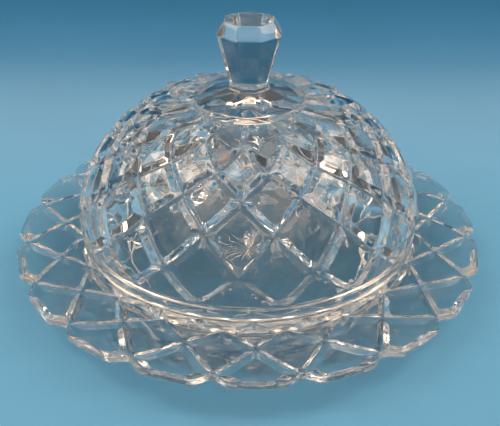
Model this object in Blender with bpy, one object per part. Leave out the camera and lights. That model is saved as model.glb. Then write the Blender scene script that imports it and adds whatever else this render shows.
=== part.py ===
"""Pressed-glass covered butter dish: a scalloped plate and a lift-off domed cover.

Lengths are in metres and +Z is up.  The dish stands on the XY plane with its
axis on Z.  Angles run from the -Y direction towards +X.  Both pieces carry the
same relief: rows of raised diamond blocks parted by V-shaped grooves, outside
on the cover and underneath on the plate.
"""

from math import cos, pi, radians, sin

import bmesh
import bpy
from mathutils import Vector

MM = 0.001

# Cover: a superellipse dome on a plain round foot.
COVER_LOBES = 16
COVER_TURN = radians(-2.6)
COVER_RADIUS = 63.5 * MM
DOME_HEIGHT = 54.7 * MM
DOME_BASE_Z = 15.0 * MM
DOME_POWER = 2.18
COVER_WALL = 4.4 * MM
CROWN_WALL = 5.6 * MM
FOOT_Z = 17.2 * MM
FOOT_RADIUS = 64.0 * MM
FOOT_EDGE = 0.7 * MM
BAND_TOP_Z = 22.2 * MM
COVER_CROSSINGS_Z = [z * MM for z in (23.0, 32.6, 44.1, 52.7, 58.4, 63.5)]
COVER_GROOVES = [w * MM for w in (1.3, 2.4, 2.3, 2.1, 1.8, 1.4)]
COVER_SLOPE = 0.8
COVER_PILLOW = 0.5 * MM

# Pad on the crown, and the octagonal knob that grows out of it.
PAD_RADIUS = 19.7 * MM
PAD_EDGE_Z = 67.6 * MM
PAD_EDGE = 0.5 * MM
PAD_RISE = 3.3 * MM
KNOB_SIDES = 8
KNOB_TURN = radians(-25.5)
NECK_RADIUS = 7.0 * MM
NECK_Z = 72.4 * MM
NECK_FLARE = 8.0 * MM
NECK_FLARE_Z = 71.1 * MM
GIRDLE_RADIUS = 11.9 * MM
GIRDLE_Z = 90.2 * MM
TABLE_RADIUS = 8.9 * MM
TABLE_Z = 94.7 * MM

# Plate: flat foot, round cove, seat with a low locating collar, wide rim that falls to its edge.
PLATE_LOBES = 20
PLATE_TURN = radians(2.1)
NOTCH_RADIUS = 84.6 * MM
SCALLOP_CORNER_RADIUS = 88.2 * MM
SCALLOP_MIDDLE_RADIUS = 87.8 * MM
SCALLOP_CORNER = radians(5.6)
RIM_TOP_Z = 15.6 * MM
RIM_EDGE = 2.4 * MM
PLATE_CROSSINGS = [(r * MM, z * MM) for r, z in ((71.7, 11.4), (63.5, 10.4), (55.0, 3.6))]
PLATE_GROOVES = [w * MM for w in (2.1, 2.1, 2.1, 1.8, 1.2)]
PLATE_SLOPE = 0.54
PLATE_FOOT_RADIUS = 46.0 * MM
PLATE_FOOT_RISE = 1.3 * MM
STAR_RAYS = 24
STAR_RADIUS = 16.0 * MM
STAR_DEPTH = 0.8 * MM
SEAT_GAP = 0.3 * MM
SEAT_RADIUS = 64.4 * MM
COLLAR_RADIUS = 58.4 * MM
COLLAR_RISE = 0.9 * MM
COLLAR_WIDTH = 1.8 * MM
COLLAR_SLOPE = 0.3 * MM
COVE_RADIUS = 9.5 * MM
COVE_STEPS = 4
WELL_RADIUS = 46.0 * MM
WELL_Z = 3.8 * MM
LATHE_POINTS = 80

# Edges sharper than this are shaded as creases.
SHARP_ANGLE = radians(24.0)


def polar(radius, angle, height):
    """Point at a radius, an angle from -Y towards +X, and a height."""
    return Vector((radius * sin(angle), -radius * cos(angle), height))


def ring(bm, count, radius, height, turn):
    """Closed loop of vertices; radius may be a function of the angle."""
    angles = [turn + 2 * pi * i / count for i in range(count)]
    radii = [radius(a) if callable(radius) else radius for a in angles]
    return [bm.verts.new(polar(r, a, height)) for r, a in zip(radii, angles)]


def skin(bm, lower, upper):
    """Band of quads between two loops of the same length."""
    for i, corner in enumerate(lower):
        after = (i + 1) % len(lower)
        bm.faces.new((corner, lower[after], upper[after], upper[i]))


def skin_all(bm, loops):
    """Bands between each pair of neighbouring loops."""
    for lower, upper in zip(loops, loops[1:]):
        skin(bm, lower, upper)


def raise_blocks(bm, rows, grooves, slope, pillow):
    """Turn rows of lattice cells into slightly crowned blocks; slope is a block's height by its bevel's width."""
    bmesh.ops.recalc_face_normals(bm, faces=bm.faces[:])
    for cells, width in zip(rows, grooves):
        rise = width * slope
        bmesh.ops.inset_individual(bm, faces=cells, thickness=width, depth=rise, use_even_offset=True)
        bmesh.ops.poke(bm, faces=cells, offset=pillow)


def glass(name, colour, roughness):
    """Clear pressed glass."""
    material = bpy.data.materials.new(name)
    material.use_nodes = True
    shader = material.node_tree.nodes["Principled BSDF"]
    shader.inputs["Base Color"].default_value = colour
    shader.inputs["Metallic"].default_value = 0.0
    shader.inputs["Roughness"].default_value = roughness
    shader.inputs["IOR"].default_value = 1.52
    shader.inputs["Transmission Weight"].default_value = 1.0
    return material


def add_object(name, bm, material, parent):
    """Close the mesh, shade it and put it under its parent."""
    bmesh.ops.recalc_face_normals(bm, faces=bm.faces[:])
    bmesh.ops.triangulate(bm, faces=bm.faces[:])
    mesh = bpy.data.meshes.new(name)
    bm.to_mesh(mesh)
    bm.free()
    mesh.shade_smooth()
    mesh.set_sharp_from_angle(angle=SHARP_ANGLE)
    mesh.materials.append(material)
    piece = bpy.data.objects.new(name, mesh)
    piece.parent = parent
    bpy.context.collection.objects.link(piece)
    return piece


def add_axis(name):
    """Empty on the dish's axis, which its piece hangs from."""
    axis = bpy.data.objects.new(name, None)
    bpy.context.collection.objects.link(axis)
    return axis


# Cover


def dome_radius(height, radius=COVER_RADIUS, rise=DOME_HEIGHT):
    """Radius of the superellipse dome at a height."""
    share = (height - DOME_BASE_Z) / rise
    return radius * (1 - share ** DOME_POWER) ** (1 / DOME_POWER)


def cover_crossing(bm, corners, step, level):
    """Vertex of the groove lattice; halves lie midway between two crossings."""
    if (step, level) not in corners:
        lower = COVER_CROSSINGS_Z[int(level)]
        upper = COVER_CROSSINGS_Z[min(int(level) + 1, len(COVER_CROSSINGS_Z) - 1)]
        height = lower + (upper - lower) * (level % 1)
        angle = COVER_TURN + step * pi / COVER_LOBES
        corners[step, level] = bm.verts.new(polar(dome_radius(height), angle, height))
    return corners[step, level]


def cover_cell_keys(step, level, top):
    """Lattice keys round one cell; level 0 is the half row, top the petals."""
    keys = []
    if level > 0:
        keys += [(step - 0.5, level - 0.5), (step, level - 1), (step + 0.5, level - 0.5)]
    keys.append((step + 1, level))
    if level == top:
        keys += [(step + 1, "pad"), (step, "pad"), (step - 1, "pad")]
    else:
        keys += [(step + 0.5, level + 0.5), (step, level + 1), (step - 0.5, level + 0.5)]
    keys.append((step - 1, level))
    if level == 0:
        keys.append((step, level))
    return keys


def add_cover_cells(bm, bottom, pad):
    """Rows of diamonds from the foot band up, closed by petals round the pad."""
    steps = 2 * COVER_LOBES
    corners = {(i, 0): vert for i, vert in enumerate(bottom)}
    corners.update({(i, "pad"): vert for i, vert in enumerate(pad)})
    top = len(COVER_CROSSINGS_Z) - 1
    rows = []
    for level in range(top + 1):
        row = []
        for step in range(level % 2, steps, 2):
            keys = [(a % steps, b) for a, b in cover_cell_keys(step, level, top)]
            verts = [corners[k] if k[1] == "pad" else cover_crossing(bm, corners, *k) for k in keys]
            row.append(bm.faces.new(verts))
        rows.append(row)
    return rows


def octagon_radius(corner_radius):
    """Radius of the knob's octagon as a function of the angle."""
    sector = 2 * pi / KNOB_SIDES

    def radius(angle):
        offset = (angle - KNOB_TURN) % sector - sector / 2
        return corner_radius * cos(sector / 2) / cos(offset)

    return radius


def make_cover(parent, material):
    """Domed cover with its knob, pressed in one piece and open underneath."""
    bm = bmesh.new()
    count = 2 * COVER_LOBES
    inner_radius = COVER_RADIUS - COVER_WALL
    inner_rise = DOME_HEIGHT - CROWN_WALL
    heights = [FOOT_Z + FOOT_EDGE] + [z - COVER_WALL / 2 for z in COVER_CROSSINGS_Z]
    inside = [ring(bm, count, dome_radius(z, inner_radius, inner_rise), z, COVER_TURN) for z in heights]
    foot_inner = ring(bm, count, inner_radius, FOOT_Z, COVER_TURN)
    foot_outer = ring(bm, count, FOOT_RADIUS - FOOT_EDGE, FOOT_Z, COVER_TURN)
    band_low = ring(bm, count, FOOT_RADIUS, FOOT_Z + FOOT_EDGE, COVER_TURN)
    band_high = ring(bm, count, FOOT_RADIUS, BAND_TOP_Z, COVER_TURN)
    lowest_z = COVER_CROSSINGS_Z[0]
    lowest = ring(bm, count, dome_radius(lowest_z), lowest_z, COVER_TURN)
    skin_all(bm, list(reversed(inside)) + [foot_inner, foot_outer, band_low, band_high, lowest])
    bm.faces.new(inside[-1])

    pad_foot = ring(bm, count, PAD_RADIUS, PAD_EDGE_Z - PAD_RISE, COVER_TURN)
    rows = add_cover_cells(bm, lowest, pad_foot)

    loops = [
        pad_foot,
        ring(bm, count, PAD_RADIUS, PAD_EDGE_Z - PAD_EDGE, COVER_TURN),
        ring(bm, count, PAD_RADIUS - PAD_EDGE, PAD_EDGE_Z, COVER_TURN),
    ]
    for corner_radius, height in (
        (NECK_FLARE, NECK_FLARE_Z),
        (NECK_RADIUS, NECK_Z),
        (GIRDLE_RADIUS, GIRDLE_Z),
        (TABLE_RADIUS, TABLE_Z),
    ):
        loops.append(ring(bm, count, octagon_radius(corner_radius), height, KNOB_TURN))
    skin_all(bm, loops)
    bm.faces.new(loops[-1])

    raise_blocks(bm, rows, COVER_GROOVES, COVER_SLOPE, COVER_PILLOW)
    return add_object("cover", bm, material, parent)


# Plate


def scallop_ring(bm, height):
    """Outline loop: for each lobe its middle, corner, notch and next corner."""
    lobe = 2 * pi / PLATE_LOBES
    points = (
        (SCALLOP_MIDDLE_RADIUS, 0.0),
        (SCALLOP_CORNER_RADIUS, SCALLOP_CORNER),
        (NOTCH_RADIUS, lobe / 2),
        (SCALLOP_CORNER_RADIUS, lobe - SCALLOP_CORNER),
    )
    loop = []
    for i in range(PLATE_LOBES):
        for radius, offset in points:
            loop.append(bm.verts.new(polar(radius, PLATE_TURN + i * lobe + offset, height)))
    return loop


def plate_crossing(bm, corners, step, level, levels):
    """Vertex of the groove lattice under the plate; halves lie midway."""
    if (step, level) not in corners:
        low, high = levels[int(level)], levels[min(int(level) + 1, len(levels) - 1)]
        share = level % 1
        radius = low[0] + (high[0] - low[0]) * share
        height = low[1] + (high[1] - low[1]) * share
        angle = PLATE_TURN + step * pi / PLATE_LOBES
        corners[step, level] = bm.verts.new(polar(radius, angle, height))
    return corners[step, level]


def add_plate_cells(bm, outline, foot):
    """Scallop cells, rows of diamonds, and half diamonds on the foot's edge."""
    steps = 2 * PLATE_LOBES
    levels = [(NOTCH_RADIUS, RIM_TOP_Z - RIM_EDGE)] + PLATE_CROSSINGS
    last = len(levels)
    corners = {(i, last): vert for i, vert in enumerate(foot)}
    corners.update({(2 * i + 1, 0): outline[4 * i + 2] for i in range(PLATE_LOBES)})
    rows = []
    for level in range(last + 1):
        row = []
        for step in range(level % 2, steps, 2):
            rim = []
            if level == 0:
                keys = [(step - 0.5, 0.5), (step, 1), (step + 0.5, 0.5)]
                rim = [outline[(2 * step + k) % len(outline)] for k in (2, 1, 0, -1, -2)]
            else:
                keys = [(step + 0.5, level - 0.5), (step, level - 1), (step - 0.5, level - 0.5)]
                keys.append((step - 1, level))
                if level < last:
                    keys += [(step - 0.5, level + 0.5), (step, level + 1), (step + 0.5, level + 0.5)]
                else:
                    keys.append((step, level))
                keys.append((step + 1, level))
            verts = [plate_crossing(bm, corners, a % steps, b, levels) for a, b in keys]
            row.append(bm.faces.new(verts + rim))
        rows.append(row)
    return rows


def add_star(bm, foot):
    """Flat foot with a many-rayed star pressed into its middle."""
    count = 2 * STAR_RAYS
    edge = ring(bm, count, STAR_RADIUS, 0.0, PLATE_TURN)
    rims = [bm.edges.get((foot[i - 1], foot[i])) for i in range(len(foot))]
    rims += [bm.edges.new((edge[i - 1], edge[i])) for i in range(count)]
    bmesh.ops.triangle_fill(bm, use_beauty=True, edges=rims, normal=(0.0, 0.0, -1.0))
    middle = ring(bm, count, STAR_RADIUS / 2, STAR_DEPTH / 4, PLATE_TURN)
    for ray_line in middle[::2]:
        ray_line.co.z = STAR_DEPTH
    skin(bm, edge, middle)
    centre = bm.verts.new((0.0, 0.0, STAR_DEPTH))
    for i, vert in enumerate(middle):
        bm.faces.new((vert, middle[(i + 1) % count], centre))


def plate_top_profile():
    """Radius and height of the plate's upper side, from the rim inwards."""
    seat_z = FOOT_Z - SEAT_GAP
    collar_z = seat_z + COLLAR_RISE
    collar_inside = COLLAR_RADIUS - COLLAR_WIDTH
    profile = [
        (SEAT_RADIUS, seat_z),
        (COLLAR_RADIUS, seat_z),
        (COLLAR_RADIUS - COLLAR_SLOPE, collar_z),
        (collar_inside, collar_z),
    ]
    centre_z = WELL_Z + COVE_RADIUS
    for i in range(COVE_STEPS + 1):
        angle = i * pi / 2 / COVE_STEPS
        profile.append((WELL_RADIUS + COVE_RADIUS * cos(angle), centre_z - COVE_RADIUS * sin(angle)))
    return profile


def make_plate(parent, material):
    """Low plate: smooth on top, blocks underneath, scalloped all round."""
    bm = bmesh.new()
    under_edge = scallop_ring(bm, RIM_TOP_Z - RIM_EDGE)
    top_edge = scallop_ring(bm, RIM_TOP_Z)
    skin(bm, under_edge, top_edge)

    loops = [top_edge]
    for radius, height in plate_top_profile():
        loops.append(ring(bm, LATHE_POINTS, radius, height, PLATE_TURN))
    skin_all(bm, loops)
    bm.faces.new(loops[-1])

    foot_top = ring(bm, 2 * PLATE_LOBES, PLATE_FOOT_RADIUS, PLATE_FOOT_RISE, PLATE_TURN)
    foot = ring(bm, 2 * PLATE_LOBES, PLATE_FOOT_RADIUS - PLATE_FOOT_RISE / 2, 0.0, PLATE_TURN)
    rows = add_plate_cells(bm, under_edge, foot_top)
    skin(bm, foot_top, foot)
    add_star(bm, foot)

    raise_blocks(bm, rows, PLATE_GROOVES, PLATE_SLOPE, 0.0)
    return add_object("plate", bm, material, parent)


def main():
    for leftover in list(bpy.data.objects):
        bpy.data.objects.remove(leftover)
    make_plate(add_axis("plate_axis"), glass("plate_glass", (0.86, 0.90, 0.91, 1.0), 0.03))
    make_cover(add_axis("cover_axis"), glass("cover_glass", (0.88, 0.91, 0.91, 1.0), 0.02))


main()
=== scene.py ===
"""Looks of a pressed-glass covered butter dish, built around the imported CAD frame.

Lengths are in metres and +Z is up.  Both pieces carry a lattice of raised blocks
between V-shaped grooves on a surface of revolution.  A point of that lattice has
two coordinates: u counts half steps round the dish and v counts crossing rows.
Angles run from the -Y direction towards +X.
"""

from math import cos, pi, radians, sin

import bmesh
import bpy
import numpy as np
from mathutils import Euler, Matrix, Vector


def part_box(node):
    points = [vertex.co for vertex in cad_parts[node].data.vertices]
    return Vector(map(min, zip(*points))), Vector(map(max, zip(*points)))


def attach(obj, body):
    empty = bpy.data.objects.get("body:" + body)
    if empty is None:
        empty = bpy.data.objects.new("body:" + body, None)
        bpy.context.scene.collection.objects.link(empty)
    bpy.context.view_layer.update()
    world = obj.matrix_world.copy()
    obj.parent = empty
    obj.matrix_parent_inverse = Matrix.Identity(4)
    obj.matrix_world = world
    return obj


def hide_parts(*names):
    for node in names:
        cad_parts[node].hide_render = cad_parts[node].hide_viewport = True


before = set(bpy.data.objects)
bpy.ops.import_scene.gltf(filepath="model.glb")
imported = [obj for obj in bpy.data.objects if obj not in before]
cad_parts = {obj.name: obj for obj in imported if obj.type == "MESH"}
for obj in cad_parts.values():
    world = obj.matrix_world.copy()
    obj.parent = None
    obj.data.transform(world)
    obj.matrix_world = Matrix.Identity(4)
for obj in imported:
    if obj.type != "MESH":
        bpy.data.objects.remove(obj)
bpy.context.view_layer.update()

MM = 0.001
COVER_LOW, COVER_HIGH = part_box("cover")

# Relief: samples along one groove between two crossings, and the groove's section.
GROOVE_SAMPLES = 12
COVER_SLOPE = 0.8
PLATE_SLOPE = 0.54
GROOVE_ROOT = 0.10
GROOVE_SHOULDER = 0.12
BEVEL_STEPS = (0.05, 0.1, 0.45, 0.88, 0.94, 1.0)
BLOCK_STEPS = (0.955, 0.82, 0.6, 0.35, 0.12)
BLOCK_EASE = 3
PETAL_EASE = 8
PETAL_INSET = 0.35 * MM
CURVE_TABLE = 60
CURVE_STEP = 0.02

# Mesh: corners are cut back by no more than this share of the shorter side.
WELD = 0.01 * MM
CORNER_SHARE = 0.45
COVER_GAP = 3 * MM
PLATE_GAP = 5 * MM

# Waviness of each part of the surface: seed, wavelength and height.
COVER_BLOCK_RIPPLE = (11, 6 * MM, 0.04 * MM)
COVER_INSIDE_RIPPLE = (14, 9 * MM, 0.09 * MM)
KNOB_RIPPLE = (13, 9 * MM, 0.03 * MM)
PLATE_BLOCK_RIPPLE = (21, 6 * MM, 0.03 * MM)
PLATE_TOP_RIPPLE = (22, 8 * MM, 0.1 * MM)
RIPPLE_WAVES = 14
RIPPLE_SPREAD = (0.7, 1.8)

# Cover
COVER_LOBES = 16
COVER_TURN = radians(-2.6)
COVER_RADIUS = 63.5 * MM
COVER_INSIDE_RADIUS = 59.1 * MM
DOME_BASE_Z = 15.0 * MM
DOME_HEIGHT = 54.7 * MM
DOME_INSIDE_HEIGHT = 49.1 * MM
DOME_POWER = 2.18
FOOT_Z = COVER_LOW.z
FOOT_RADIUS = COVER_HIGH.x
BAND_TOP_Z = 22.2 * MM
COVER_CROSSINGS_Z = [z * MM for z in (23.0, 32.6, 44.1, 52.7, 58.4, 63.5)]
COVER_GROOVES = [w * MM for w in (1.3, 2.4, 2.3, 2.1, 1.8, 1.4)]
COVER_CROWN = 0.3 * MM
COVER_FLATNESS = 0.85
COVER_FOOT_INSET = 0.7
BAND_FILLETS = [0.35 * MM, 1.0 * MM, 1.0 * MM]
INSIDE_WALL_Z = FOOT_Z + 3 * MM
INSIDE_RIPPLE_Z = FOOT_Z + 3.5 * MM
INSIDE_DOME_Z = FOOT_Z + 4 * MM
INSIDE_START = 0.02
INSIDE_STEPS = 30
INSIDE_MARGIN = 0.1 * MM
PAD_RADIUS = 19.7 * MM
PAD_FOOT_Z = 64.3 * MM
PAD_TOP_Z = 67.6 * MM
PAD_BEVEL = 0.4 * MM
KNOB_SIDES = 8
KNOB_TURN = radians(-25.5)
KNOB_TOP_Z = COVER_HIGH.z
KNOB_PROFILE = [
    (8.0 * MM, 71.1 * MM),
    (7.0 * MM, 72.4 * MM),
    (11.9 * MM, 90.2 * MM),
    (8.9 * MM, KNOB_TOP_Z),
]
KNOB_HUB = 0.3 * MM
KNOB_FILLET = 0.35 * MM
KNOB_EASE = 6
KNOB_RIPPLE_SHARE = 0.5
PYRAMID_SLOPE = 0.285

# Plate
PLATE_LOBES = 20
PLATE_TURN = radians(2.1)
NOTCH_RADIUS = 84.6 * MM
LOBE_RADIUS = 87.8 * MM
NOTCH_HALF_WIDTH = radians(3.7)
RIM_LOW_Z = 13.2 * MM
RIM_TOP_Z = 15.6 * MM
RIM_KNOT_LIFT = 0.2 * MM
RIM_FALL = 0.1 * MM
RIM_BEAD = 1.1 * MM
RIM_SAMPLES = 28
RIM_EASE = 4
BEAD_STEPS = 3
BEAD_CORNERS = 2
PLATE_CROSSINGS_MM = ((71.7, 11.4), (63.5, 10.4), (55.0, 3.6), (46.0, 1.3))
PLATE_CROSSINGS = [(r * MM, z * MM) for r, z in PLATE_CROSSINGS_MM]
PLATE_GROOVES = [w * MM for w in (2.1, 2.1, 2.1, 1.8, 1.2)]
PLATE_FOOT_INSET = 0.6
FOOT_RING_RADIUS = 45.35 * MM
FOOT_FILLET = 0.6 * MM
STAR_RAYS = 24
STAR_RADIUS = 16.0 * MM
STAR_HEART = 8.0 * MM
STAR_DEPTH = 0.8 * MM
STAR_MARGIN = 2 * MM
STAR_HUB = 0.4 * MM
STAR_LOOPS = 18
SEAT_GAP = 0.3 * MM
SEAT_Z = FOOT_Z - SEAT_GAP
SEAT_RADIUS = 64.4 * MM
COLLAR_RADIUS = 58.4 * MM
COLLAR_RISE = 0.9 * MM
COLLAR_Z = SEAT_Z + COLLAR_RISE
COLLAR_WIDTH = 1.8 * MM
COLLAR_LEAN = 0.3 * MM
COVE_RADIUS = 9.5 * MM
COVE_LOOPS = 9
WELL_RADIUS = 46.0 * MM
WELL_Z = 3.8 * MM
WELL_HUB = 0.5 * MM

# Glass: noise is scale and detail, roughness runs from smooth to hazy.
GLASS_TINT = (0.995, 0.998, 0.996, 1)
GLASS_IOR = 1.52
PLATE_ROUGHNESS = (0.0, 0.05)
COVER_ROUGHNESS = (0.0, 0.04)
HAZE_NOISE = (90.0, 4.0)
HAZE_RANGE = (0.45, 0.75)
PULL_NOISE = (220.0, 3.0)
PULL_STRENGTH = 0.25
PULL_DEPTH = 0.05 * MM

# Floor: paper blue with painted light and shade by distance behind the dish, and a faint mottle.
FLOOR_Z = -0.25 * MM
FLOOR_PAPER_AND_PAINTED_SHADE = [
    (0.05, (0.136, 0.43, 0.78, 1)),
    (0.15, (0.185, 0.445, 0.8, 1)),
    (0.23, (0.061, 0.262, 0.55, 1)),
    (0.36, (0.03, 0.2, 0.46, 1)),
    (0.60, (0.017, 0.14, 0.32, 1)),
]
FLOOR_ROUGHNESS = 0.8
FLOOR_SPECULAR = 0.15
MOTTLE_NOISE = (9.0, 2.0)
MOTTLE_RANGE = (0.9, 1.1)
SWEEP_WIDTH = 5.0
SWEEP_START = 0.65
SWEEP_CURVE = 0.45
SWEEP_STEPS = 17

# Room: one plain colour low down, patches higher up, and a broken glow overhead.
ROOM_LOW = (0.1, 0.1, 0.095, 1)
ROOM_PATCHES = [
    (0.38, (0.05, 0.043, 0.038, 1)),
    (0.52, (0.45, 0.37, 0.3, 1)),
    (0.65, (1.7, 1.25, 0.92, 1)),
]
PATCH_NOISE = (3.2, 2.0)
PATCH_SIDE = (0.0, -0.4, 0.92)
PATCH_RANGE = (0.3, 0.75)
GLOW_COLOUR = (1.6, 1.26, 0.98, 1)
GLOW_SIDE = (-0.1, -0.3, 0.95)
GLOW_RANGE = (0.72, 0.98)
GLOW_NOISE = (7.0, 1.0)
GLOW_NOISE_RANGE = (0.42, 0.58)
GLOW_LEAST = 0.2

# Warm panels in mirrored pairs: angle from the front, angle above the floor, and power.
PANELS = [
    (radians(60), radians(69), 1.1),
    (radians(85), radians(56), 1.6),
    (radians(102), radians(42), 1.5),
]
PANEL_DISTANCE = 1.0
PANEL_SIZE = (0.36, 0.36)
PANEL_COLOUR = (1.0, 0.73, 0.51)
PANEL_AIM = (0, 0, 0.05)

# Light bounces and camera
BOUNCES = 32
CAMERA_AIM = Vector((0.64 * MM, 0.0, 18.16 * MM))
CAMERA_DISTANCE = 265.3 * MM
CAMERA_ELEVATION = radians(32.24)
CAMERA_ROLL = radians(0.42)
CAMERA_LENS = 48.52
CAMERA_SENSOR = 36.0
CAMERA_CLIP = 0.01


# Mesh tools


class Skin:
    """Points and faces gathered patch by patch, and welded into one mesh at the end."""

    def __init__(self):
        self.points = []
        self.faces = []
        self.count = 0

    def add(self, loops, centre):
        """Quads between neighbouring closed loops, and a fan from the last one to a centre."""
        rows, around = loops.shape[:2]
        index = self.count + np.arange(rows * around).reshape(rows, around)
        after = np.roll(index, -1, axis=1)
        quads = np.stack([index[:-1], after[:-1], after[1:], index[1:]], axis=-1)
        self.faces.extend(quads.reshape(-1, 4).tolist())
        self.points.append(loops.reshape(-1, 3))
        self.count += rows * around
        fan = [[int(a), int(b), self.count] for a, b in zip(index[-1], after[-1])]
        self.faces.extend(fan)
        self.points.append(np.array([centre]))
        self.count += 1

    def make(self, name, body, node, material):
        """The welded mesh as a piece that rides on a body and stands for a CAD node."""
        mesh = bpy.data.meshes.new(name)
        mesh.from_pydata(np.concatenate(self.points).tolist(), [], self.faces)
        bm = bmesh.new()
        bm.from_mesh(mesh)
        bmesh.ops.remove_doubles(bm, verts=bm.verts[:], dist=WELD)
        bmesh.ops.triangulate(bm, faces=bm.faces[:])
        bmesh.ops.recalc_face_normals(bm, faces=bm.faces[:])
        bm.to_mesh(mesh)
        bm.free()
        mesh.shade_smooth()
        mesh.materials.append(material)
        piece = bpy.data.objects.new(name, mesh)
        bpy.context.scene.collection.objects.link(piece)
        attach(piece, body)
        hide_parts(node)


def polar(radius, angle, height):
    """Points at a radius, an angle and a height, which may be arrays."""
    radius, angle, height = np.broadcast_arrays(radius, angle, height)
    return np.stack([radius * np.sin(angle), -radius * np.cos(angle), height], axis=-1)


def lathe(profile, angles):
    """Loops of a profile turned round the axis."""
    profile = np.array(profile)
    return polar(profile[:, :1], angles[None, :], profile[:, 1:])


def fillet(loops, size, steps=4):
    """Round the corners between loops, by one size or one each, keeping the first and last loop."""
    finer = [loops[0]]
    sizes = np.broadcast_to(size, len(loops) - 2)
    for before, corner, after, size in zip(loops, loops[1:], loops[2:], sizes):
        into = before - corner
        out = after - corner
        reach = [np.linalg.norm(arm, axis=-1, keepdims=True) for arm in (into, out)]
        cut = np.minimum(size, CORNER_SHARE * np.minimum(*reach))
        start = corner + into * cut / reach[0]
        end = corner + out * cut / reach[1]
        for t in np.linspace(0, 1, steps + 1):
            finer.append((1 - t) ** 2 * start + 2 * t * (1 - t) * corner + t**2 * end)
    finer.append(loops[-1])
    return np.array(finer)


def subdivide(loops, gap):
    """Extra loops wherever two neighbours are further apart than the gap."""
    finer = [loops[0]]
    for lower, upper in zip(loops, loops[1:]):
        count = int(np.ceil(np.linalg.norm(upper - lower, axis=-1).mean() / gap))
        for t in np.arange(1, count + 1) / max(count, 1):
            finer.append(lower + (upper - lower) * t)
    return np.array(finer)


def rounded(loop, passes):
    """Closed loop with its corners eased."""
    for _ in range(passes):
        loop = (np.roll(loop, 1, axis=0) + 2 * loop + np.roll(loop, -1, axis=0)) / 4
    return loop


class Ripple:
    """The faint waviness of fire-polished glass, the same at each run."""

    def __init__(self, seed, wave, height):
        draw = np.random.default_rng(seed)
        way = draw.normal(size=(RIPPLE_WAVES, 3))
        way /= np.linalg.norm(way, axis=1, keepdims=True)
        self.waves = way * 2 * pi / (wave * draw.uniform(*RIPPLE_SPREAD, (RIPPLE_WAVES, 1)))
        self.phase = draw.uniform(0, 2 * pi, RIPPLE_WAVES)
        self.height = height * np.sqrt(2 / RIPPLE_WAVES)

    def __call__(self, points):
        """Height of the waves at each point."""
        swell = np.sin(points @ self.waves.T + self.phase)
        return self.height * swell.sum(axis=-1, keepdims=True)


# Relief


class Relief:
    """Surface of revolution under a lattice of blocks.

    Its knots start one row outside the lattice, and side is 1 where the blocks face
    up from a surface that rises inwards, or -1 where they face down.
    """

    def __init__(self, lobes, turn, knots, side):
        self.half_step = pi / lobes
        self.turn = turn
        self.knots = np.array(knots)
        self.side = side
        self.levels = np.linspace(-1, len(knots) - 2, CURVE_TABLE * len(knots))
        table = self.curve(self.levels)
        self.radii = table[:, 0]
        steps = np.linalg.norm(np.diff(table, axis=0), axis=1)
        self.lengths = np.concatenate([[0], np.cumsum(steps)])

    def curve(self, level):
        """Radius and height on a smooth curve through the knots."""
        place = np.clip(np.asarray(level, float) + 1, 0, len(self.knots) - 1)
        first = np.minimum(place.astype(int), len(self.knots) - 2)
        t = (place - first)[..., None]
        last = len(self.knots) - 1
        a, b, c, d = (self.knots[np.clip(first + k, 0, last)] for k in (-1, 0, 1, 2))
        cubic = (-a + 3 * b - 3 * c + d) * t + 2 * a - 5 * b + 4 * c - d
        return b + ((cubic * t + c - a) * t) / 2

    def level_at(self, radius):
        """Level where the curve has that radius."""
        return np.interp(-np.asarray(radius), -self.radii, self.levels)

    def point(self, uv):
        """Point of the surface."""
        place = self.curve(uv[..., 1])
        return polar(place[..., 0], self.turn + uv[..., 0] * self.half_step, place[..., 1])

    def normal(self, uv):
        """Unit normal of the surface, on the side of the blocks."""
        slope = self.curve(uv[..., 1] + CURVE_STEP) - self.curve(uv[..., 1] - CURVE_STEP)
        slope *= self.side / np.linalg.norm(slope, axis=-1, keepdims=True)
        return polar(slope[..., 1], self.turn + uv[..., 0] * self.half_step, -slope[..., 0])

    def flatten(self, uv, centre):
        """Flat coordinates in metres round a centre."""
        x = (uv[..., 0] - centre[0]) * self.half_step * self.curve(centre[1])[0]
        y = np.interp(uv[..., 1], self.levels, self.lengths)
        return np.stack([x, y - np.interp(centre[1], self.levels, self.lengths)], axis=-1)

    def unflatten(self, xy, centre):
        """Lattice coordinates of flat ones."""
        u = centre[0] + xy[..., 0] / (self.half_step * self.curve(centre[1])[0])
        along = xy[..., 1] + np.interp(centre[1], self.levels, self.lengths)
        return np.stack([u, np.interp(along, self.lengths, self.levels)], axis=-1)


def straight(start, end, samples=GROOVE_SAMPLES):
    """Samples from one crossing up to the next, without the last."""
    t = np.arange(samples)[:, None] / samples
    return np.array(start, float) * (1 - t) + np.array(end, float) * t


def inset_corners(corners, insets):
    """Corners of a polygon whose sides have moved inwards by their own distances."""
    sides = np.roll(corners, -1, axis=0) - corners
    sides /= np.linalg.norm(sides, axis=1, keepdims=True)
    area = np.cross(corners, np.roll(corners, -1, axis=0)).sum()
    inward = np.stack([-sides[:, 1], sides[:, 0]], axis=1) * np.sign(area)
    reach = (inward * corners).sum(axis=1) + insets
    moved = []
    for i in range(len(corners)):
        moved.append(np.linalg.solve(inward[[i - 1, i]], reach[[i - 1, i]]))
    return np.array(moved)


def soft_ramp(t):
    """Section of a groove's side: rounded at its root and at its shoulder."""
    slope = 1 / (1 - GROOVE_ROOT / 2 - GROOVE_SHOULDER / 2)
    if t < GROOVE_ROOT:
        return slope * t**2 / (2 * GROOVE_ROOT)
    if t > 1 - GROOVE_SHOULDER:
        return 1 - slope * (1 - t) ** 2 / (2 * GROOVE_SHOULDER)
    return slope * (t - GROOVE_ROOT / 2)


def diamond(low, right, high, left):
    """Sides of a whole block."""
    return [straight(low, right), straight(right, high), straight(high, left), straight(left, low)]


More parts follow.
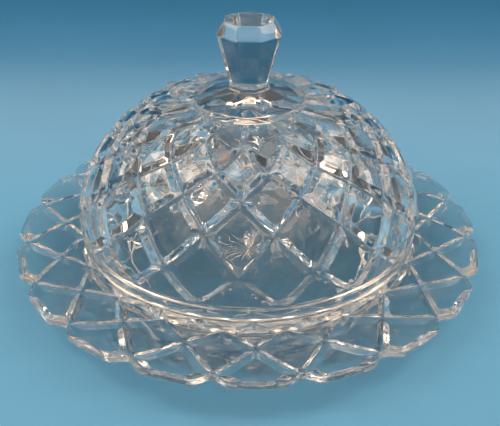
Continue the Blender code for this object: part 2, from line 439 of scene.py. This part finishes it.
def add_block(
    skin, relief, edges, insets, ripple, slope, flatness=0.0, crown=0.0, ease=BLOCK_EASE
):
    """One raised block: a rounded V bevel from its groove lines, then a slightly crowned top.

    Flatness brings the top closer to one plane, and ease is how often its outline is eased.
    """
    outer = np.concatenate(edges)
    sizes = [len(edge) for edge in edges]
    side = np.repeat(np.arange(len(edges)), sizes)
    share = np.concatenate([np.arange(n) / n for n in sizes])[:, None]
    corner_uv = np.array([edge[0] for edge in edges])
    centre = corner_uv.mean(axis=0)
    corners = relief.flatten(corner_uv, centre)
    inner = inset_corners(corners, np.array(insets))
    after = (side + 1) % len(edges)
    chord = corners[side] * (1 - share) + corners[after] * share
    bow = relief.flatten(outer, centre) - chord
    shoulder = rounded(inner[side] * (1 - share) + inner[after] * share + bow, ease)
    rise = slope * max(insets)

    origin = relief.point(centre)
    up = relief.normal(centre)

    def top(xy):
        uv = relief.unflatten(xy, centre)
        return relief.point(uv) + relief.normal(uv) * rise

    edge_top = top(shoulder)
    plane = ((edge_top - origin) @ up).mean()

    def eased(points):
        height = (points - origin) @ up
        return points + (flatness * (plane - height))[:, None] * up

    edge_top = eased(edge_top)
    edge_base = relief.point(relief.unflatten(shoulder, centre))
    start = relief.point(outer)
    loops = [start]
    for t in BEVEL_STEPS:
        ramp = soft_ramp(t)
        loop = start + t * (edge_base - start) + ramp * (edge_top - edge_base)
        loops.append(loop + ramp * ripple(loop) * up)
    middle = shoulder.mean(axis=0)
    for t in BLOCK_STEPS:
        loop = eased(top(middle + (shoulder - middle) * t)) + crown * (1 - t**2) * up
        loops.append(loop + ripple(loop) * up)
    heart = eased(top(middle[None]))[0] + crown * up
    skin.add(np.array(loops), heart + ripple(heart)[0] * up)


# Cover


def dome_radius(height):
    """Radius of the superellipse dome at a height."""
    share = (height - DOME_BASE_Z) / DOME_HEIGHT
    return COVER_RADIUS * (1 - share**DOME_POWER) ** (1 / DOME_POWER)


def cover_relief():
    """Lattice of the dome, from below its foot band up to the pad."""
    knots = [(COVER_RADIUS, DOME_BASE_Z)]
    knots += [(dome_radius(z), z) for z in COVER_CROSSINGS_Z]
    knots.append((PAD_RADIUS, PAD_FOOT_Z))
    return Relief(COVER_LOBES, COVER_TURN, knots, 1)


def add_cover_blocks(skin, ripple):
    """Half diamonds on the foot band, rows of diamonds, and petals round the pad."""
    relief = cover_relief()
    top = len(COVER_CROSSINGS_Z) - 1
    wide = 2 * GROOVE_SAMPLES
    look = {
        "ripple": ripple,
        "slope": COVER_SLOPE,
        "flatness": COVER_FLATNESS,
        "crown": COVER_CROWN,
    }
    for level, groove in enumerate(COVER_GROOVES):
        for step in range(level % 2, 2 * COVER_LOBES, 2):
            low, high = (step, level - 1), (step, level + 1)
            left, right = (step - 1, level), (step + 1, level)
            if level == 0:
                edges = [straight(left, right, wide), straight(right, high), straight(high, left)]
                insets = [COVER_FOOT_INSET * groove, groove, groove]
                add_block(skin, relief, edges, insets, **look)
            elif level < top:
                edges = diamond(low, right, high, left)
                add_block(skin, relief, edges, [groove] * 4, **look)
            else:
                pad_right, pad_left = (step + 1, top + 1), (step - 1, top + 1)
                edges = [
                    straight(low, right),
                    straight(right, pad_right),
                    straight(pad_right, pad_left, wide),
                    straight(pad_left, left),
                    straight(left, low),
                ]
                insets = [groove, groove, PETAL_INSET, groove, groove]
                add_block(skin, relief, edges, insets, ease=PETAL_EASE, **look)


def cover_angles():
    """Angles of the samples round the cover."""
    count = 2 * COVER_LOBES * GROOVE_SAMPLES
    return COVER_TURN + 2 * pi * np.arange(count) / count


def add_cover_shell(skin, ripple):
    """Foot band, rounded foot and the smooth inside of the dome."""
    power = 2 / DOME_POWER
    lowest = COVER_CROSSINGS_Z[0]
    band = [
        (dome_radius(lowest), lowest),
        (FOOT_RADIUS, BAND_TOP_Z),
        (FOOT_RADIUS, FOOT_Z),
        (COVER_INSIDE_RADIUS, FOOT_Z),
        (COVER_INSIDE_RADIUS, INSIDE_WALL_Z),
    ]
    loops = list(fillet(lathe(band, cover_angles()), BAND_FILLETS))
    dome = []
    for t in np.linspace(INSIDE_START, 1, INSIDE_STEPS)[:-1] * pi / 2:
        height = DOME_BASE_Z + DOME_INSIDE_HEIGHT * sin(t) ** power
        if height > INSIDE_DOME_Z:
            dome.append((COVER_INSIDE_RADIUS * cos(t) ** power, height))
    loops += list(lathe(dome, cover_angles()))
    loops = subdivide(np.array(loops), COVER_GAP)
    radius = np.linalg.norm(loops[..., :2], axis=-1, keepdims=True)
    inner = (loops[..., 2:] > INSIDE_RIPPLE_Z) & (radius < COVER_INSIDE_RADIUS + INSIDE_MARGIN)
    down = -loops / np.linalg.norm(loops, axis=-1, keepdims=True)
    loops = loops + inner * ripple(loops) * down
    skin.add(loops, (0, 0, DOME_BASE_Z + DOME_INSIDE_HEIGHT))


def add_knob(skin, ripple):
    """Disc pad under a low octagonal pyramid, with the octagonal knob that grows out of it."""
    angles = cover_angles()
    sector = 2 * pi / KNOB_SIDES
    offset = (angles - KNOB_TURN) % sector - sector / 2
    octagon = cos(sector / 2) / np.cos(offset)
    base_radius, base_z = KNOB_PROFILE[0]
    bevel_radius = PAD_RADIUS - PAD_BEVEL
    reach = bevel_radius * np.cos(offset) - base_radius * cos(sector / 2)
    loops = [
        polar(PAD_RADIUS, angles, PAD_FOOT_Z),
        polar(PAD_RADIUS, angles, PAD_TOP_Z),
        polar(bevel_radius, angles, base_z - PYRAMID_SLOPE * reach),
    ]
    loops += [polar(radius * octagon, angles, height) for radius, height in KNOB_PROFILE]
    loops.append(polar(KNOB_HUB * octagon, angles, KNOB_TOP_Z))
    loops = [loops[0]] + [rounded(loop, KNOB_EASE) for loop in loops[1:]]
    loops = subdivide(fillet(np.array(loops), KNOB_FILLET), COVER_GAP)
    out = polar(1.0, angles, 0.0)
    loops[1:-1] += ripple(loops[1:-1]) * out * KNOB_RIPPLE_SHARE
    skin.add(loops, (0, 0, KNOB_TOP_Z))


def make_cover(material):
    """Cover with its pad and knob, in one closed piece of glass."""
    skin = Skin()
    add_cover_blocks(skin, Ripple(*COVER_BLOCK_RIPPLE))
    add_cover_shell(skin, Ripple(*COVER_INSIDE_RIPPLE))
    add_knob(skin, Ripple(*KNOB_RIPPLE))
    skin.make("cover_glass", "cover", "cover", material)


# Plate


def rim_radius(angles, inset=0.0):
    """Outline of the plate: straight-sided lobes with a rounded notch between each two."""
    lobe = 2 * pi / PLATE_LOBES
    offset = (angles - PLATE_TURN + lobe / 2) % lobe - lobe / 2
    side = LOBE_RADIUS / np.cos(offset)
    near = np.clip((np.abs(offset) - lobe / 2) / NOTCH_HALF_WIDTH + 1, 0, 1)
    depth = LOBE_RADIUS / cos(lobe / 2) - NOTCH_RADIUS
    return rounded(side - depth * (1 - np.cos(pi * near)) / 2 - inset, RIM_EASE)


def plate_relief():
    """Lattice of the underside, from beyond the rim in to the foot."""
    step = NOTCH_RADIUS - PLATE_CROSSINGS[0][0]
    knots = [(NOTCH_RADIUS + step, RIM_LOW_Z + RIM_KNOT_LIFT), (NOTCH_RADIUS, RIM_LOW_Z)]
    knots += PLATE_CROSSINGS
    return Relief(PLATE_LOBES, PLATE_TURN, knots, -1)


def rim_angles(relief):
    """Angles of the rim's samples; each lobe's run starts in a notch."""
    count = PLATE_LOBES * RIM_SAMPLES
    return PLATE_TURN + (1 - 2 * np.arange(count) / RIM_SAMPLES) * relief.half_step


def add_plate_blocks(skin, relief, ripple):
    """Scalloped blocks along the rim, rows of diamonds, and half diamonds on the foot."""
    lobe_levels = relief.level_at(rim_radius(rim_angles(relief), RIM_BEAD))[:RIM_SAMPLES]
    notch = lobe_levels[0]
    last = len(PLATE_CROSSINGS)
    wide = 2 * GROOVE_SAMPLES
    for level, groove in enumerate(PLATE_GROOVES):
        for step in range(level % 2, 2 * PLATE_LOBES, 2):
            low, high = (step, max(level - 1, notch)), (step, level + 1)
            middle = max(level, notch)
            left, right = (step - 1, middle), (step + 1, middle)
            if level == 0:
                steps = step + 1 - 2 * np.arange(RIM_SAMPLES) / RIM_SAMPLES
                rim = np.stack([steps, lobe_levels], axis=1)
                edges = [straight(left, high), straight(high, right), rim]
                insets = [groove] * 3
            elif level < last:
                edges = diamond(low, right, high, left)
                insets = [groove] * 4
            else:
                edges = [straight(low, right), straight(right, left, wide), straight(left, low)]
                insets = [groove, PLATE_FOOT_INSET * groove, groove]
            add_block(skin, relief, edges, insets, ripple, PLATE_SLOPE)


def star_height(radius, angle):
    """Depth of the star pressed into the foot: V rays that taper from its heart to their tips."""
    sector = 2 * pi / STAR_RAYS
    across = np.abs((angle - PLATE_TURN + sector / 2) % sector - sector / 2) / (sector / 2)
    taper = np.clip((STAR_RADIUS - radius) / (STAR_RADIUS - STAR_HEART), 1e-6, 1)
    ridge = STAR_DEPTH * np.clip(1 - radius / STAR_HEART, 0, 1)
    return ridge + (STAR_DEPTH * taper - ridge) * np.clip(1 - across / taper, 0, 1)


def add_plate_foot(skin):
    """Flat foot with the star in its middle."""
    count = 2 * PLATE_LOBES * GROOVE_SAMPLES
    angles = PLATE_TURN + 2 * pi * np.arange(count) / count
    ring = [PLATE_CROSSINGS[-1], (FOOT_RING_RADIUS, 0.0), (STAR_RADIUS + STAR_MARGIN, 0.0)]
    loops = list(subdivide(fillet(lathe(ring, angles), FOOT_FILLET), PLATE_GAP))
    for radius in np.linspace(STAR_RADIUS, STAR_HUB, STAR_LOOPS):
        loops.append(polar(radius, angles, star_height(radius, angles)))
    skin.add(np.array(loops), (0, 0, STAR_DEPTH))


def add_plate_top(skin, relief, ripple):
    """Beaded rim, and the smooth upper side with its seat, collar, cove and well."""
    angles = rim_angles(relief)
    inner = rim_radius(angles, RIM_BEAD)
    uv = np.stack([(angles - PLATE_TURN) / relief.half_step, relief.level_at(inner)], axis=1)
    under = relief.point(uv)
    loops = [
        under,
        polar(rim_radius(angles), angles, under[:, 2]),
        polar(rim_radius(angles), angles, RIM_TOP_Z),
        polar(rim_radius(angles, 2 * RIM_BEAD), angles, RIM_TOP_Z - RIM_FALL),
    ]
    profile = [
        (SEAT_RADIUS, SEAT_Z),
        (COLLAR_RADIUS, SEAT_Z),
        (COLLAR_RADIUS - COLLAR_LEAN, COLLAR_Z),
        (COLLAR_RADIUS - COLLAR_WIDTH, COLLAR_Z),
    ]
    cove = []
    for t in np.linspace(0, 1, COVE_LOOPS) * pi / 2:
        cove.append((WELL_RADIUS + COVE_RADIUS * cos(t), WELL_Z + COVE_RADIUS * (1 - sin(t))))
    loops += list(lathe(profile + cove[:1], angles))
    loops = list(fillet(np.array(loops), RIM_BEAD, BEAD_STEPS)) + list(lathe(cove[1:], angles))
    loops.append(polar(WELL_HUB, angles, WELL_Z))
    loops = subdivide(np.array(loops), PLATE_GAP)
    bead = 1 + BEAD_CORNERS * (BEAD_STEPS + 1)
    height = ripple(loops[bead:])
    loops[bead:, :, 2:] += height
    skin.add(loops, (0, 0, WELL_Z + height[-1].mean()))


def make_plate(material):
    """Plate, in one closed piece of glass."""
    relief = plate_relief()
    skin = Skin()
    add_plate_blocks(skin, relief, Ripple(*PLATE_BLOCK_RIPPLE))
    add_plate_foot(skin)
    add_plate_top(skin, relief, Ripple(*PLATE_TOP_RIPPLE))
    skin.make("plate_glass", "plate", "plate", material)


# Materials


def noise_node(nodes, links, coordinates, scale, detail):
    """Noise from 0 to 1."""
    node = nodes.new("ShaderNodeTexNoise")
    node.inputs["Scale"].default_value = scale
    node.inputs["Detail"].default_value = detail
    links.new(coordinates, node.inputs["Vector"])
    return node.outputs["Fac"]


def range_node(nodes, links, value, source, target=(0.0, 1.0), smooth=False):
    """A value brought from one range to another and clamped."""
    node = nodes.new("ShaderNodeMapRange")
    if smooth:
        node.interpolation_type = "SMOOTHSTEP"
    links.new(value, node.inputs["Value"])
    node.inputs["From Min"].default_value = source[0]
    node.inputs["From Max"].default_value = source[1]
    node.inputs["To Min"].default_value = target[0]
    node.inputs["To Max"].default_value = target[1]
    return node


def color_node(nodes, stops):
    """Colour ramp with a position and a colour for each stop."""
    node = nodes.new("ShaderNodeValToRGB")
    elements = node.color_ramp.elements
    while len(elements) < len(stops):
        elements.new(1.0)
    for element, (position, colour) in zip(elements, stops):
        element.position = position
        element.color = colour
    return node


def pressed_glass(name, slot, roughness):
    """Clear soda-lime glass with the pull marks and faint haze of pressing."""
    material = bpy.data.materials.new(name)
    material.use_nodes = True
    material["slot"] = slot
    nodes = material.node_tree.nodes
    links = material.node_tree.links
    shader = nodes["Principled BSDF"]
    shader.inputs["Base Color"].default_value = GLASS_TINT
    shader.inputs["IOR"].default_value = GLASS_IOR
    shader.inputs["Transmission Weight"].default_value = 1.0
    coordinates = nodes.new("ShaderNodeTexCoord").outputs["Object"]

    clouds = noise_node(nodes, links, coordinates, *HAZE_NOISE)
    haze = range_node(nodes, links, clouds, HAZE_RANGE, roughness)
    links.new(haze.outputs["Result"], shader.inputs["Roughness"])

    pull = nodes.new("ShaderNodeBump")
    pull.inputs["Strength"].default_value = PULL_STRENGTH
    pull.inputs["Distance"].default_value = PULL_DEPTH
    links.new(noise_node(nodes, links, coordinates, *PULL_NOISE), pull.inputs["Height"])
    links.new(pull.outputs["Normal"], shader.inputs["Normal"])
    return material


def floor_paper_painted_shade():
    """Matt blue paper with painted light and shade: lighter just behind the dish, darker further
    back.
    """
    material = bpy.data.materials.new("floor_paper_painted_shade")
    material.use_nodes = True
    nodes = material.node_tree.nodes
    links = material.node_tree.links
    shader = nodes["Principled BSDF"]
    shader.inputs["Roughness"].default_value = FLOOR_ROUGHNESS
    shader.inputs["Specular IOR Level"].default_value = FLOOR_SPECULAR
    coordinates = nodes.new("ShaderNodeTexCoord").outputs["Object"]
    split = nodes.new("ShaderNodeSeparateXYZ")
    links.new(coordinates, split.inputs["Vector"])
    # The ramp paints light and shade into the paper's colour, standing in for a backdrop that turns
    # away from the light.
    away = range_node(nodes, links, split.outputs["Y"], (0.0, SWEEP_START))
    stops = [(distance / SWEEP_START, colour) for distance, colour in FLOOR_PAPER_AND_PAINTED_SHADE]
    sweep = color_node(nodes, stops)
    sweep.color_ramp.interpolation = "B_SPLINE"
    links.new(away.outputs["Result"], sweep.inputs["Fac"])

    clouds = noise_node(nodes, links, coordinates, *MOTTLE_NOISE)
    mottle = range_node(nodes, links, clouds, (0.0, 1.0), MOTTLE_RANGE)
    shade = nodes.new("ShaderNodeVectorMath")
    shade.operation = "SCALE"
    links.new(sweep.outputs["Color"], shade.inputs[0])
    links.new(mottle.outputs["Result"], shade.inputs["Scale"])
    links.new(shade.outputs["Vector"], shader.inputs["Base Color"])
    return material


# Stage


def add_floor():
    """Wide pale-blue paper sweep: flat under the dish, and curving up well behind it."""
    outline = [(-SWEEP_WIDTH / 2, 0.0)]
    for t in np.linspace(0, 1, SWEEP_STEPS) * pi / 2:
        outline.append((SWEEP_START + SWEEP_CURVE * sin(t), SWEEP_CURVE * (1 - cos(t))))
    edges = (-SWEEP_WIDTH / 2, SWEEP_WIDTH / 2)
    points = [(x, y, z + FLOOR_Z) for y, z in outline for x in edges]
    faces = [(2 * i, 2 * i + 1, 2 * i + 3, 2 * i + 2) for i in range(len(outline) - 1)]
    mesh = bpy.data.meshes.new("floor")
    mesh.from_pydata(points, [], faces)
    mesh.shade_smooth()
    mesh.materials.append(floor_paper_painted_shade())
    floor = bpy.data.objects.new("floor", mesh)
    bpy.context.scene.collection.objects.link(floor)


def add_panel(name, place, power):
    """Square soft light that faces the dish."""
    light = bpy.data.lights.new(name, "AREA")
    light.shape = "RECTANGLE"
    light.size, light.size_y = PANEL_SIZE
    light.color = PANEL_COLOUR
    light.energy = power
    lamp = bpy.data.objects.new(name, light)
    lamp.location = place
    lamp.rotation_euler = (Vector(PANEL_AIM) - place).to_track_quat("-Z", "Y").to_euler()
    bpy.context.scene.collection.objects.link(lamp)


def add_panels():
    """The warm panels and their mirror images."""
    for number, (turn, rise, power) in enumerate(PANELS):
        for hand, side in (("left", -1), ("right", 1)):
            away = Vector((side * sin(turn) * cos(rise), -cos(turn) * cos(rise), sin(rise)))
            add_panel(f"panel_{number}_{hand}", PANEL_DISTANCE * away, power)


def facing_node(nodes, links, direction, side, source):
    """Share from 0 to 1 by how far a direction points to a side."""
    facing = nodes.new("ShaderNodeVectorMath")
    facing.operation = "DOT_PRODUCT"
    links.new(direction, facing.inputs[0])
    facing.inputs[1].default_value = Vector(side).normalized()
    return range_node(nodes, links, facing.outputs["Value"], source, smooth=True)


def mix_node(nodes, links, factor):
    """Mix of two colours, still to be given."""
    node = nodes.new("ShaderNodeMix")
    node.data_type = "RGBA"
    links.new(factor, node.inputs["Factor"])
    return node


def add_room_light():
    """Warm room round the stage: plain low down, patches above, and a broken glow overhead."""
    world = bpy.data.worlds.new("room")
    world.use_nodes = True
    nodes = world.node_tree.nodes
    links = world.node_tree.links
    direction = nodes.new("ShaderNodeTexCoord").outputs["Generated"]

    patches = color_node(nodes, ROOM_PATCHES)
    links.new(noise_node(nodes, links, direction, *PATCH_NOISE), patches.inputs["Fac"])
    height = facing_node(nodes, links, direction, PATCH_SIDE, PATCH_RANGE)
    walls = mix_node(nodes, links, height.outputs["Result"])
    walls.inputs["A"].default_value = ROOM_LOW
    links.new(patches.outputs["Color"], walls.inputs["B"])

    clouds = noise_node(nodes, links, direction, *GLOW_NOISE)
    panes = range_node(nodes, links, clouds, GLOW_NOISE_RANGE, (GLOW_LEAST, 1.0))
    glow = facing_node(nodes, links, direction, GLOW_SIDE, GLOW_RANGE)
    links.new(panes.outputs["Result"], glow.inputs["To Max"])
    ceiling = mix_node(nodes, links, glow.outputs["Result"])
    links.new(walls.outputs["Result"], ceiling.inputs["A"])
    ceiling.inputs["B"].default_value = GLOW_COLOUR
    links.new(ceiling.outputs["Result"], nodes["Background"].inputs["Color"])
    bpy.context.scene.world = world


def add_camera():
    """Camera in front of the dish, looking down on it."""
    data = bpy.data.cameras.new("camera")
    data.lens = CAMERA_LENS
    data.sensor_width = CAMERA_SENSOR
    data.clip_start = CAMERA_CLIP
    camera = bpy.data.objects.new("camera", data)
    back = Vector((0, -cos(CAMERA_ELEVATION), sin(CAMERA_ELEVATION)))
    camera.location = CAMERA_AIM + back * CAMERA_DISTANCE
    turn = (-back).to_track_quat("-Z", "Y").to_matrix()
    roll = Euler((0, 0, CAMERA_ROLL)).to_matrix()
    camera.rotation_euler = (turn @ roll).to_euler()
    bpy.context.scene.collection.objects.link(camera)
    bpy.context.scene.camera = camera


make_plate(pressed_glass("plate_pressed_glass", "plate_glass", PLATE_ROUGHNESS))
make_cover(pressed_glass("cover_pressed_glass", "cover_glass", COVER_ROUGHNESS))
add_floor()
add_room_light()
add_panels()
add_camera()
bpy.context.scene.view_settings.view_transform = "Standard"
for kind in ("max_bounces", "glossy_bounces", "transmission_bounces"):
    setattr(bpy.context.scene.cycles, kind, BOUNCES)
